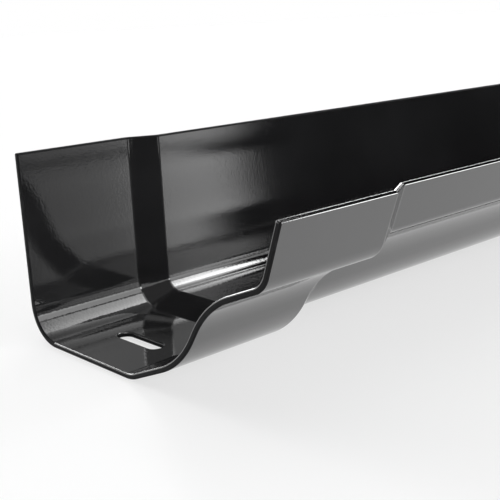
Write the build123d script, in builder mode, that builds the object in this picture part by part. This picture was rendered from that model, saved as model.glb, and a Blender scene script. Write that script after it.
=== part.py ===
from build123d import *
from math import cos, radians, sin
import os

os.makedirs("parts", exist_ok=True)

# Moulded ogee gutter, pressed from one coated sheet. X runs along the length with the socket end
# at -X, the ogee front faces -Y, the back wall stands at +Y and the socket's sole lies on Z = 0.
# The origin is at the middle of the footprint.

# Lengths along the gutter
length = 1829
socket_depth = 51
shoulder_length = 11.5

# Sheet, and how far the main run steps inward from the socket so that the next length fits in
sheet = 2.2
joggle = 6
tip_radius = 0.75
cut_radius = 0.6

# Outer face of the socket's section: heights, then each flat's width and its angle above level
back_height = 75
rim_height = 66.4
sole_width = 65.5
rise_width = 29
rise_angle = 22.5
ogee_width = 15
ogee_angle = 57
ledge_width = 26
ledge_angle = 21.5
fascia_angle = 70

# Bend radii on the outer face of the socket
heel_radius = 15
toe_radius = 16
belly_radius = 39
neck_radius = 35
foot_radius = 9.8

# Bolt slot across the socket's sole
slot_length = 26
slot_width = 6.5
slot_from_end = 23.5
slot_from_back = 39

# Angles that the sheet's flats make with level, from the back wall round to the fascia
headings = [-90, 0, rise_angle, ogee_angle, ledge_angle, fascia_angle]


def along(heading, width):
    """The step over one flat that covers this width towards the front."""
    slope = radians(heading)
    return Vector(-width, width * sin(slope) / cos(slope))


def socket_corners():
    """Where the flats of the socket's outer face would meet without bends, from the back face."""
    heel = Vector(0, 0)
    toe = heel + along(0, sole_width)
    belly = toe + along(rise_angle, rise_width)
    neck = belly + along(ogee_angle, ogee_width)
    foot = neck + along(ledge_angle, ledge_width)
    return [heel, toe, belly, neck, foot]


def moved_inward(corners, inset):
    """The same corners once every flat has moved inward by the inset."""
    moved = []
    for corner, before, after in zip(corners, headings, headings[1:]):
        middle = radians((before + after) / 2)
        reach = inset / cos(radians((after - before) / 2))
        moved.append(corner + Vector(sin(middle), cos(middle)) * reach)
    return moved


def outer_face(inset):
    """Corners of the outer face from the top of the back wall to the rim of the fascia."""
    corners = moved_inward(socket_corners(), inset)
    top = Vector(corners[0].X, back_height)
    climb = rim_height - corners[-1].Y
    slope = radians(fascia_angle)
    rim = corners[-1] + Vector(-climb * cos(slope) / sin(slope), climb)
    return [top, *corners, rim]


def bend_radii(inset):
    """Radii on the outer face: bends round the trough tighten inward, and the neck opens."""
    return [
        heel_radius - inset,
        toe_radius - inset,
        belly_radius - inset,
        neck_radius + inset,
        foot_radius - inset,
    ]


# The rim's rounded tip stands a little short of its sharp corner
rim_slope = radians(fascia_angle)
tip_setback = tip_radius * (cos(rim_slope) + sin(rim_slope) - 1)
overall_width = -outer_face(0)[-1].X - tip_setback
back_face = overall_width / 2
socket_end = -length / 2
shoulder_start = socket_end + socket_depth
main_start = shoulder_start + shoulder_length
slot_x = socket_end + slot_from_end


def sheet_section(x, inset):
    """The bent sheet cut across at x, its outer face moved inward by the inset."""
    with BuildSketch(Plane.YZ.offset(x)) as section:
        with BuildLine():
            shift = Vector(back_face, 0)
            face = FilletPolyline(
                *[shift + corner for corner in outer_face(inset)], radius=bend_radii(inset)
            )
            offset(face, amount=sheet, side=Side.RIGHT)
        make_face()
        corners = section.vertices()
        tips = corners.sort_by(Axis.X)[:2] + corners.sort_by(Axis.Y)[-2:]
        fillet(tips, tip_radius)
    return section.sketch


with BuildPart() as gutter:
    extrude(sheet_section(socket_end, 0), amount=socket_depth)
    loft([sheet_section(shoulder_start, 0), sheet_section(main_start, joggle)], ruled=True)
    extrude(sheet_section(main_start, joggle), amount=length / 2 - main_start)

    with BuildSketch(Plane.XY):
        with Locations((slot_x, back_face - slot_from_back)):
            SlotOverall(slot_length, slot_width, rotation=90)
    extrude(amount=sheet, mode=Mode.SUBTRACT)

    # The coat rounds the edges of the slot and of both cut ends
    fillet(gutter.edges(Select.LAST).filter_by(Plane.XY), cut_radius)
    cut_ends = gutter.faces().sort_by(Axis.X)
    fillet(cut_ends[0].edges() + cut_ends[-1].edges(), cut_radius)

gutter.part.label = "gutter_length"
export_step(gutter.part, "parts/gutter_length.step")

print("overall width", round(overall_width, 2), "solids", len(gutter.solids()))
print("volume", round(gutter.part.volume), "box", gutter.part.bounding_box())
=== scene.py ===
import bpy
from math import ceil, cos, pi, radians, sin, sqrt, tan
from mathutils import Matrix, Vector


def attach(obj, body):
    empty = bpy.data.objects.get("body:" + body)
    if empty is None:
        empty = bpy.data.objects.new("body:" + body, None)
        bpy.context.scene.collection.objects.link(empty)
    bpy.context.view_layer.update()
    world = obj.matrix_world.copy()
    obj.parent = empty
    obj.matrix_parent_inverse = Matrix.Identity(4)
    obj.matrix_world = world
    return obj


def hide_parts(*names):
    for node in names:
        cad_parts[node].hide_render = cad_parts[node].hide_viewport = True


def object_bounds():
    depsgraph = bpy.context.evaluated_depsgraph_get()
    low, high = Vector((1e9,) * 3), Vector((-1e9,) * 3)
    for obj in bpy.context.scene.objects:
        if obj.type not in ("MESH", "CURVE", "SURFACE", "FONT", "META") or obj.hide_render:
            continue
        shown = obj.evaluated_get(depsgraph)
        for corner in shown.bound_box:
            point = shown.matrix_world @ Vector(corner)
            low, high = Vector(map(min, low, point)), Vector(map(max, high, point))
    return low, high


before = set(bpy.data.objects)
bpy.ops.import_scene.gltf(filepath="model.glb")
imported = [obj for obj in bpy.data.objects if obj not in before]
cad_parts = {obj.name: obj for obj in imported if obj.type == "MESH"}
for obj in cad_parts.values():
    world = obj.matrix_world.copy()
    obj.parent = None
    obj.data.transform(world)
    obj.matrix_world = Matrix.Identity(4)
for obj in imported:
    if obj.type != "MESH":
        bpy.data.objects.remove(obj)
cad_low, cad_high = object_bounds()

MM = 0.001

# The gutter's sizes, the same values as in the part's source
SHEET = 2.2 * MM
JOGGLE = 6 * MM
SOCKET_DEPTH = 51 * MM
SHOULDER = 11.5 * MM
RIM_HEIGHT = 66.4 * MM
FLAT_WIDTHS = [65.5 * MM, 29 * MM, 15 * MM, 26 * MM]
HEADINGS = [radians(a) for a in (-90, 0, 22.5, 57, 21.5, 70)]
BEND_RADII = [15 * MM, 16 * MM, 39 * MM, 35 * MM, 9.8 * MM]
TIP_RADIUS = 0.75 * MM
CUT_RADIUS = 0.6 * MM
SLOT_LENGTH = 26 * MM
SLOT_WIDTH = 6.5 * MM
SLOT_FROM_END = 23.5 * MM
SLOT_FROM_BACK = 39 * MM

# The press leaves the shoulder's corners soft
SHOULDER_RADIUS = 2 * MM

# How finely round shapes are cut
BEND_STEP = radians(2)
EDGE_STEPS = 6
SHOULDER_STEPS = 5
SLOT_STEPS = 12

# The longest stretch of the plain run between two rings, how far the two rings at the slot stand from
# its middle, and the index of the first of them, after the rings that round the socket's cut end
RUN_STEP = 60 * MM
SLOT_MARGIN = 8 * MM
SLOT_RING = EDGE_STEPS + 1

# How worn the sheet's rounded edges are
CUT_WEAR = 1.0
RIM_WEAR = 0.3

SOCKET_END = cad_low.x
FAR_END = cad_high.x
BACK_FACE = cad_high.y
BACK_HEIGHT = cad_high.z
SHOULDER_START = SOCKET_END + SOCKET_DEPTH
RUN_START = SHOULDER_START + SHOULDER
SLOT_X = SOCKET_END + SLOT_FROM_END
SLOT_Y = BACK_FACE - SLOT_FROM_BACK


class Skin:
    """Points, their exact normals and the faces between them, collected for one mesh. A face is in the
    gloss coat or the dull one, and says how worn it is."""

    def __init__(self):
        self.points = []
        self.normals = []
        self.faces = []
        self.dull = []
        self.wear = []

    def point(self, place, normal):
        self.points.append(place)
        self.normals.append(normal.normalized())
        return len(self.points) - 1

    def face(self, *corners, dull=False, wear=0.0):
        """A face turned so that it looks the way its corners' normals do."""
        a, b, c = (self.points[i] for i in (corners[0], corners[1], corners[-1]))
        outward = sum((self.normals[i] for i in corners), Vector())
        flipped = (b - a).cross(c - a).dot(outward) < 0
        self.faces.append(corners[::-1] if flipped else corners)
        self.dull.append(dull)
        self.wear.append(wear)

    def build(self, name):
        mesh = bpy.data.meshes.new(name)
        mesh.from_pydata(self.points, [], self.faces)
        mesh.polygons.foreach_set("use_smooth", [True] * len(mesh.polygons))
        mesh.polygons.foreach_set("material_index", [int(dull) for dull in self.dull])
        mesh.attributes.new("edge_wear", "FLOAT", "FACE").data.foreach_set("value", self.wear)
        mesh.normals_split_custom_set_from_vertices(self.normals)
        piece = bpy.data.objects.new(name, mesh)
        bpy.context.scene.collection.objects.link(piece)
        return piece


def outer_bends():
    """(point, inward normal) along the bends of the socket's outer face, from the heel to the foot of the
    fascia, and then that foot's sharp corner. Points are (forward, up) from the back face and the sole."""
    corner = Vector((0, 0))
    rows = []
    for index, radius in enumerate(BEND_RADII):
        before, after = HEADINGS[index], HEADINGS[index + 1]
        turn = after - before
        side = 1 if turn > 0 else -1
        ahead = Vector((cos(before), sin(before)))
        inward = Vector((-ahead.y, ahead.x))
        begin = corner - ahead * radius * tan(abs(turn) / 2)
        centre = begin + inward * radius * side
        steps = ceil(abs(turn) / BEND_STEP)
        for k in range(steps + 1):
            heading = before + turn * k / steps
            normal = Vector((-sin(heading), cos(heading)))
            rows.append((centre - normal * radius * side, normal))
        if index < len(FLAT_WIDTHS):
            width = FLAT_WIDTHS[index]
            corner = corner + Vector((width, width * tan(after)))
    return rows, corner


def tip(corner, ahead, inward, drift):
    """The sheet's edge from its outer face to its inner one, with both corners rounded."""
    r = TIP_RADIUS
    rows = []
    for depth, first, second in ((r, -inward, ahead), (SHEET - r, ahead, inward)):
        centre = corner - ahead * r + inward * depth
        for k in range(EDGE_STEPS + 1):
            a = pi / 2 * k / EDGE_STEPS
            facing = first * cos(a) + second * sin(a)
            rows.append((centre + facing * r, facing, drift))
    return rows


def outline():
    """The closed outline of the socket's section as (point, outward normal, drift), from the middle of
    the back wall's top edge round the outer face and back along the inner one, and then the index at
    which the sole's flat starts. A point moves by its drift for each unit that the run steps inward."""
    bends, foot = outer_bends()
    fascia = HEADINGS[-1]
    climb = RIM_HEIGHT - foot.y
    rim = foot + Vector((climb / tan(fascia), climb))
    ahead = Vector((cos(fascia), sin(fascia)))
    inward = Vector((-sin(fascia), cos(fascia)))
    rim_edge = tip(rim, ahead, inward, Vector((-1 / sin(fascia), 0)))
    top_edge = tip(Vector((0, BACK_HEIGHT)), Vector((0, 1)), Vector((1, 0)), Vector((1, 0)))
    half = len(top_edge) // 2
    outer = [(point, -normal, normal) for point, normal in bends]
    inner = [(point + normal * SHEET, normal, normal) for point, normal in reversed(bends)]
    heel_steps = ceil((HEADINGS[1] - HEADINGS[0]) / BEND_STEP)
    return top_edge[:half][::-1] + outer + rim_edge + inner + top_edge[half:][::-1], half + heel_steps


def rounded_end(end, direction, inset):
    """Stations that round a cut end's edges, from the run towards the end."""
    rows = []
    for k in range(EDGE_STEPS + 1):
        a = pi / 2 * k / EDGE_STEPS
        x = end - direction * CUT_RADIUS * (1 - sin(a))
        rows.append((x, inset, 0, CUT_RADIUS * (1 - cos(a)), direction * sin(a)))
    return rows


def shoulder():
    """Stations of the ramp between socket and run, with a soft corner at each end."""
    slope = JOGGLE / SHOULDER
    bend = Vector((1, slope)).angle(Vector((1, 0)))
    reach = SHOULDER_RADIUS * tan(bend / 2)
    rows = []
    for k in range(SHOULDER_STEPS + 1):
        a = bend * k / SHOULDER_STEPS
        x = SHOULDER_START - reach + SHOULDER_RADIUS * sin(a)
        rows.append((x, SHOULDER_RADIUS * (1 - cos(a)), tan(a), 0, 0))
    middle = SHOULDER_START + RUN_START
    return rows + [(middle - x, JOGGLE - inset, slope, 0, 0) for x, inset, slope, _, _ in reversed(rows)]


def all_stations():
    """Where the rings stand along the gutter, from the socket's end to the far one."""
    stations = rounded_end(SOCKET_END, -1, 0)[::-1]
    stations += [(SLOT_X - SLOT_MARGIN, 0, 0, 0, 0), (SLOT_X + SLOT_MARGIN, 0, 0, 0, 0)]
    stations += shoulder()
    run_steps = ceil((FAR_END - RUN_START) / RUN_STEP)
    for k in range(1, run_steps):
        stations.append((RUN_START + (FAR_END - RUN_START) * k / run_steps, JOGGLE, 0, 0, 0))
    return stations + rounded_end(FAR_END, 1, JOGGLE)


def ring(skin, rows, x, inset, slope, shrink, facing):
    """One closed row of points round the sheet. Its station is a place along the gutter, how far the
    section steps inward there and how steeply, how far the sheet is thinned on each side by a cut end's
    rounding, and how far its normals face along X."""
    across = sqrt(1 - facing * facing)
    indices = []
    for point, normal, drift in rows:
        at = point + drift * inset - normal * shrink
        along = facing - normal.dot(drift) * slope
        outward = Vector((along, -normal.x * across, normal.y * across))
        indices.append(skin.point(Vector((x, BACK_FACE - at.x, at.y)), outward))
    return indices


def add_sheet(skin, rings, sole_start, sole_end):
    """The faces between the rings. The sole stays open between the two rings at the slot."""
    count = len(rings[0])
    half = count // 2
    for k, (first, second) in enumerate(zip(rings, rings[1:])):
        at_cut = k < EDGE_STEPS or k >= len(rings) - 1 - EDGE_STEPS
        for i in range(count):
            j = (i + 1) % count
            if k == SLOT_RING and (i == sole_start or j == sole_end):
                continue
            at_top = i < EDGE_STEPS or i >= count - EDGE_STEPS - 1
            at_rim = half - EDGE_STEPS - 1 <= i < half + EDGE_STEPS
            # The inner edge of the cut keeps the gloss from the rim to the heel
            glossy_edge = half - 1 <= i < sole_end
            dull = at_top or at_cut and not glossy_edge
            wear = CUT_WEAR if at_cut else RIM_WEAR if at_top or at_rim else 0.0
            skin.face(first[i], first[j], second[j], second[i], dull=dull, wear=wear)


def add_end_cap(skin, rim):
    """The cut face of the sheet, between the outer and the inner half of its ring."""
    last = len(rim) - 1
    for i in range(len(rim) // 2 - 1):
        skin.face(rim[i], rim[i + 1], rim[last - i - 1], rim[last - i], dull=True)


def slot_ring(skin, spread, height, upright, level):
    """A row of points round the slot. The first half of it is the end of the slot nearer the back."""
    straight = (SLOT_LENGTH - SLOT_WIDTH) / 2
    radius = SLOT_WIDTH / 2 + spread
    indices = []
    for side in (1, -1):
        for k in range(2 * SLOT_STEPS + 1):
            a = pi / 2 * k / SLOT_STEPS + (0 if side > 0 else pi)
            out = Vector((cos(a), sin(a), 0))
            centre = Vector((SLOT_X, SLOT_Y + side * straight, height))
            indices.append(skin.point(centre + out * radius, Vector((0, 0, upright)) - out * level))
    return indices


def slot_panel(skin, corners, rim):
    """The sole round the slot, on one of its faces. Corners run as the row round the slot does."""
    n = SLOT_STEPS
    starts = (0, n, 2 * n + 1, 3 * n + 1)
    for corner, start in zip(corners, starts):
        for i in range(start, start + n):
            skin.face(corner, rim[i], rim[i + 1])
    right, left, left_front, right_front = corners
    skin.face(right, left, rim[n])
    skin.face(left, left_front, rim[2 * n + 1], rim[2 * n])
    skin.face(left_front, right_front, rim[3 * n + 1])
    skin.face(right_front, right, rim[0], rim[4 * n + 1])


def add_slot(skin, near, far, sole_start, sole_end):
    """The slot's rounded edges and wall, and the sole round it on both faces of the sheet."""
    rings = []
    for base, upright in ((0, -1), (SHEET, 1)):
        for k in range(EDGE_STEPS + 1):
            a = pi / 2 * (k if upright < 0 else EDGE_STEPS - k) / EDGE_STEPS
            height = base - upright * CUT_RADIUS * (1 - cos(a))
            rings.append(slot_ring(skin, CUT_RADIUS * (1 - sin(a)), height, upright * cos(a), sin(a)))
    for k, (first, second) in enumerate(zip(rings, rings[1:])):
        for i in range(len(first)):
            j = (i + 1) % len(first)
            skin.face(first[i], first[j], second[j], second[i], dull=k <= EDGE_STEPS, wear=CUT_WEAR)
    for start, ahead, rim in ((sole_start, 1, rings[0]), (sole_end, -1, rings[-1])):
        slot_panel(skin, (far[start], near[start], near[start + ahead], far[start + ahead]), rim)


def build_gutter():
    rows, sole_start = outline()
    sole_end = len(rows) - 1 - sole_start
    skin = Skin()
    rings = [ring(skin, rows, *station) for station in all_stations()]
    add_sheet(skin, rings, sole_start, sole_end)
    add_end_cap(skin, rings[0])
    add_end_cap(skin, rings[-1])
    add_slot(skin, rings[SLOT_RING], rings[SLOT_RING + 1], sole_start, sole_end)
    return skin.build("gutter_sheet")


class NodeMaths:
    """Short calls for building node trees."""

    def __init__(self, tree):
        self.tree = tree

    def node(self, kind, **values):
        made = self.tree.nodes.new(kind)
        for name, value in values.items():
            setattr(made, name, value)
        return made

    def join(self, source, socket):
        if isinstance(source, (int, float)):
            socket.default_value = source
        else:
            self.tree.links.new(source, socket)

    def maths(self, operation, *values):
        made = self.node("ShaderNodeMath", operation=operation)
        for value, socket in zip(values, made.inputs):
            self.join(value, socket)
        return made.outputs[0]

    def add(self, first, second):
        return self.maths("ADD", first, second)

    def less(self, first, second):
        return self.maths("SUBTRACT", first, second)

    def times(self, first, second):
        return self.maths("MULTIPLY", first, second)

    def ramp(self, value, *stops):
        """A curve through (value, result) stops. The results may be brighter than 1."""
        low, high = stops[0][0], stops[-1][0]
        peak = max(result for _, result in stops)
        scaled = self.maths("DIVIDE", self.less(value, low), high - low)
        made = self.node("ShaderNodeValToRGB")
        elements = made.color_ramp.elements
        for at, _ in stops[1:-1]:
            elements.new((at - low) / (high - low))
        for element, (_, result) in zip(elements, stops):
            element.color = (result / peak,) * 3 + (1,)
        self.join(scaled, made.inputs["Fac"])
        return self.times(made.outputs["Color"], peak)

    def rise(self, value, low, high):
        """0 below the low value, 1 above the high one, and smooth between."""
        made = self.node("ShaderNodeMapRange", interpolation_type="SMOOTHSTEP")
        self.join(value, made.inputs["Value"])
        made.inputs["From Min"].default_value = low
        made.inputs["From Max"].default_value = high
        return made.outputs["Result"]

    def window(self, value, low, high, edge):
        """1 between the two values and 0 outside them, with soft edges."""
        up = self.rise(value, low - edge / 2, low + edge / 2)
        down = self.rise(value, high - edge / 2, high + edge / 2)
        return self.less(up, down)

    def noise(self, scale, detail):
        """Noise on the object's own metres, so many waves to the metre."""
        made = self.node("ShaderNodeTexNoise")
        made.inputs["Scale"].default_value = scale
        made.inputs["Detail"].default_value = detail
        self.join(self.node("ShaderNodeTexCoord").outputs["Object"], made.inputs["Vector"])
        return made.outputs["Fac"]

    def patches(self, scale, detail, levels):
        """1 where the noise is above both levels, 0 where it is below them, and smooth between."""
        return self.rise(self.noise(scale, detail), *levels)

    def between(self, amount, first, second):
        """The first value where the amount is 0 and the second where it is 1."""
        made = self.node("ShaderNodeMapRange")
        self.join(amount, made.inputs["Value"])
        made.inputs["To Min"].default_value = first
        made.inputs["To Max"].default_value = second
        return made.outputs["Result"]


# The patterns in the coat, with their waves to the metre
CLOUDS = {"scale": 22, "detail": 3, "levels": (0.3, 0.7)}
SPECKS = {"scale": 900, "detail": 3, "levels": (0.55, 0.75)}
WORN_SPOTS = {"scale": 160, "detail": 4, "levels": (0.52, 0.66)}

# How much rougher the most worn edges are, the levels of the black, and its trace of blue
EDGE_ROUGHNESS = 0.22
DEPTHS = (0.009, 0.014)
BLUE = 1.05

# How the two coats differ: worn is how much paler worn spots are, and peel is the orange peel
PEEL_HEIGHT = 0.02 * MM
GLOSS = {
    "ior": 2.2, "specular": 0.5, "roughness": (0.02, 0.045), "speck": 0.02, "worn": 0.012,
    "peel": {"scale": 1150, "detail": 2},
}
DULL = {
    "ior": 1.5, "specular": 0.05, "roughness": (0.35, 0.5), "speck": 0.1, "worn": 0.006,
    "peel": {"scale": 1500, "detail": 3},
}


def black_coat(name, coat):
    """Black coat on the sheet. Orange peel gives its mirror a fine grain, and large soft clouds vary its
    sheen and depth. Along the sheet's rounded edges it is softer and worn thin in places."""
    material = bpy.data.materials.new(name)
    material.use_nodes = True
    tree = NodeMaths(material.node_tree)
    shader = material.node_tree.nodes["Principled BSDF"]
    shader.inputs["IOR"].default_value = coat["ior"]
    shader.inputs["Specular IOR Level"].default_value = coat["specular"]

    clouds = tree.patches(**CLOUDS)
    edge = tree.node("ShaderNodeAttribute", attribute_name="edge_wear").outputs["Fac"]

    roughness = tree.between(clouds, *coat["roughness"])
    roughness = tree.add(roughness, tree.times(tree.patches(**SPECKS), coat["speck"]))
    roughness = tree.add(roughness, tree.times(edge, EDGE_ROUGHNESS))
    tree.join(roughness, shader.inputs["Roughness"])

    worn = tree.times(edge, tree.patches(**WORN_SPOTS))
    depth = tree.add(tree.between(clouds, *DEPTHS), tree.times(worn, coat["worn"]))
    colour = tree.node("ShaderNodeCombineColor")
    tree.join(depth, colour.inputs["Red"])
    tree.join(depth, colour.inputs["Green"])
    tree.join(tree.times(depth, BLUE), colour.inputs["Blue"])
    tree.join(colour.outputs["Color"], shader.inputs["Base Color"])

    bump = tree.node("ShaderNodeBump")
    bump.inputs["Strength"].default_value = 1
    bump.inputs["Distance"].default_value = PEEL_HEIGHT
    tree.join(tree.noise(**coat["peel"]), bump.inputs["Height"])
    tree.join(bump.outputs["Normal"], shader.inputs["Normal"])
    return material


gutter = build_gutter()
gutter.data.materials.append(black_coat("black_coat_gloss", GLOSS))
gutter.data.materials.append(black_coat("black_coat_cut", DULL))
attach(gutter, "root")
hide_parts("gutter_length")

# The floor, and how far it is plain white to the camera and in reflections. The rest keeps the shadow.
FLOOR_REACH = 30
FLOOR_DROP = 0.2 * MM
FLOOR_GREY = 0.85
FLOOR_ROUGHNESS = 0.9
FLOOR_WHITE = 0.65


def floor_paint():
    material = bpy.data.materials.new("floor_white")
    material.use_nodes = True
    tree = NodeMaths(material.node_tree)
    shader = material.node_tree.nodes["Principled BSDF"]
    shader.inputs["Base Color"].default_value = (FLOOR_GREY, FLOOR_GREY, FLOOR_GREY, 1)
    shader.inputs["Roughness"].default_value = FLOOR_ROUGHNESS
    rays = tree.node("ShaderNodeLightPath").outputs
    seen = tree.maths("MAXIMUM", rays["Is Camera Ray"], rays["Is Glossy Ray"])
    seen = tree.maths("MAXIMUM", seen, rays["Is Transmission Ray"])
    mix = tree.node("ShaderNodeMixShader")
    tree.join(tree.times(seen, FLOOR_WHITE), mix.inputs[0])
    tree.join(shader.outputs["BSDF"], mix.inputs[1])
    tree.join(tree.node("ShaderNodeEmission").outputs["Emission"], mix.inputs[2])
    tree.join(mix.outputs["Shader"], material.node_tree.nodes["Material Output"].inputs["Surface"])
    return material


def add_floor():
    turns = ((-1, -1), (1, -1), (1, 1), (-1, 1))
    corners = [(x * FLOOR_REACH, y * FLOOR_REACH, -FLOOR_DROP) for x, y in turns]
    mesh = bpy.data.meshes.new("floor")
    mesh.from_pydata(corners, [], [(0, 1, 2, 3)])
    floor = bpy.data.objects.new("floor", mesh)
    bpy.context.scene.collection.objects.link(floor)
    floor.data.materials.append(floor_paint())


# The studio's light, by direction. Lean is how far a direction points along +X, from -1 to 1. Roll is
# its turn about the gutter's length, in degrees: 0 is up, 90 is behind the gutter, -90 is before it.
SOFT_BOXES = {
    "overhead": {"level": 0.7, "lean": (-0.12, 0.36), "roll": (-46, 54)},
    "front": {"level": 5.0, "lean": (-0.16, 0.36), "roll": (-86, -60)},
    "front_dim": {"level": 0.5, "lean": (-0.42, -0.16), "roll": (-82, -60)},
    "front_left": {"level": 5.0, "lean": (-0.95, -0.44), "roll": (-86, -56)},
    "front_middle": {"level": 1.7, "lean": (0.42, 0.62), "roll": (-82, -62)},
    "front_right": {"level": 9.0, "lean": (0.69, 0.92), "roll": (-85, -45)},
    "over_heel": {"level": 1.3, "lean": (0.42, 0.66), "roll": (-62, -46)},
    "back": {"level": 11.0, "lean": (-0.42, 0.18), "roll": (64, 78)},
    "over_back": {"level": 8.0, "lean": (-0.24, 0.02), "roll": (50, 64)},
    "back_right": {"level": 9.0, "lean": (0.69, 0.92), "roll": (66, 86)},
}
BOX_EDGE = {"lean": 0.04, "roll": 4}

# A bright tunnel over the gutter, as (lean, level) and (roll, share) stops. It starts and ends between
# these leans. Towards the front, over these degrees from the top, it comes to end sooner by this lean.
TUNNEL_ALONG = ((0.42, 0.3), (0.47, 1.7), (0.56, 3.0), (0.59, 6.8), (0.66, 8.4), (1.0, 8.4))
TUNNEL_ACROSS = ((-44, 0.0), (-40, 0.7), (-26, 0.75), (-6, 1.0), (60, 1.0), (66, 0.0))
TUNNEL_START = (0.40, 0.44)
TUNNEL_END = (0.655, 0.665)
ENDS_SOONER_OVER = (8, 34)
ENDS_SOONER_BY = 0.035

# A faint light all over, which ends between these leans
AMBIENT_LIGHT = 0.1
AMBIENT_END = (0.45, 0.6)

# The white horizon, and how far up directions point, from 0 to 1, where it ends. It ends lower for
# directions that lean at least so far and point at least so far back.
HORIZON_LIGHT = 1.0
HORIZON_TOP = (0.14, 0.26)
LOW_HORIZON_TOP = (0.045, 0.075)
LOW_HORIZON_LEAN = (0.36, 0.42)
LOW_HORIZON_BACK = (0.0, 0.1)


def tunnel_light(tree, lean, roll):
    tunnel = tree.times(tree.ramp(lean, *TUNNEL_ALONG), tree.rise(lean, *TUNNEL_START))
    tunnel = tree.times(tunnel, tree.ramp(roll, *TUNNEL_ACROSS))
    sooner = tree.times(tree.rise(tree.times(roll, -1.0), *ENDS_SOONER_OVER), ENDS_SOONER_BY)
    return tree.times(tunnel, tree.less(1.0, tree.rise(tree.add(lean, sooner), *TUNNEL_END)))


def add_world():
    """Soft light from a few large boxes, a bright tunnel over the gutter and a white horizon."""
    world = bpy.data.worlds.new("studio")
    bpy.context.scene.world = world
    world.use_nodes = True
    tree = NodeMaths(world.node_tree)
    direction = tree.node("ShaderNodeTexCoord").outputs["Generated"]
    parts = tree.node("ShaderNodeSeparateXYZ")
    tree.join(direction, parts.inputs[0])
    lean, y, z = parts.outputs
    roll = tree.maths("DEGREES", tree.maths("ARCTAN2", y, z))

    light = tunnel_light(tree, lean, roll)
    for box in SOFT_BOXES.values():
        along = tree.window(lean, *box["lean"], BOX_EDGE["lean"])
        across = tree.window(roll, *box["roll"], BOX_EDGE["roll"])
        light = tree.add(light, tree.times(tree.times(along, across), box["level"]))
    ambient = tree.times(tree.less(1.0, tree.rise(lean, *AMBIENT_END)), AMBIENT_LIGHT)
    light = tree.add(light, ambient)

    behind = tree.times(tree.rise(lean, *LOW_HORIZON_LEAN), tree.rise(y, *LOW_HORIZON_BACK))
    above, above_low = tree.rise(z, *HORIZON_TOP), tree.rise(z, *LOW_HORIZON_TOP)
    above = tree.add(above, tree.times(behind, tree.less(above_low, above)))
    horizon = tree.times(tree.less(1.0, above), HORIZON_LIGHT)
    background = world.node_tree.nodes["Background"]
    tree.join(tree.add(tree.times(light, above), horizon), background.inputs["Strength"])
    background.inputs["Color"].default_value = (1, 1, 1, 1)


# The camera that was worked out from the photograph, aimed with no shift
LENS = 65.02
SENSOR_WIDTH = 36
NEAREST = 0.01
CAMERA_PLACE = Vector((-1.08036, -0.24110, 0.11946))
CAMERA_RIGHT = Vector((0.7304, -0.6813, -0.0479))
CAMERA_FORWARD = Vector((0.6525, 0.7168, -0.2458))


def add_camera():
    data = bpy.data.cameras.new("photo_camera")
    data.sensor_width = SENSOR_WIDTH
    data.lens = LENS
    data.clip_start = NEAREST
    camera = bpy.data.objects.new("photo_camera", data)
    bpy.context.scene.collection.objects.link(camera)
    right, forward = CAMERA_RIGHT.normalized(), CAMERA_FORWARD.normalized()
    turn = Matrix((right, right.cross(forward), -forward)).transposed().to_4x4()
    camera.matrix_world = Matrix.Translation(CAMERA_PLACE) @ turn
    bpy.context.scene.camera = camera


add_floor()
add_world()
add_camera()
bpy.context.scene.view_settings.view_transform = "Standard"
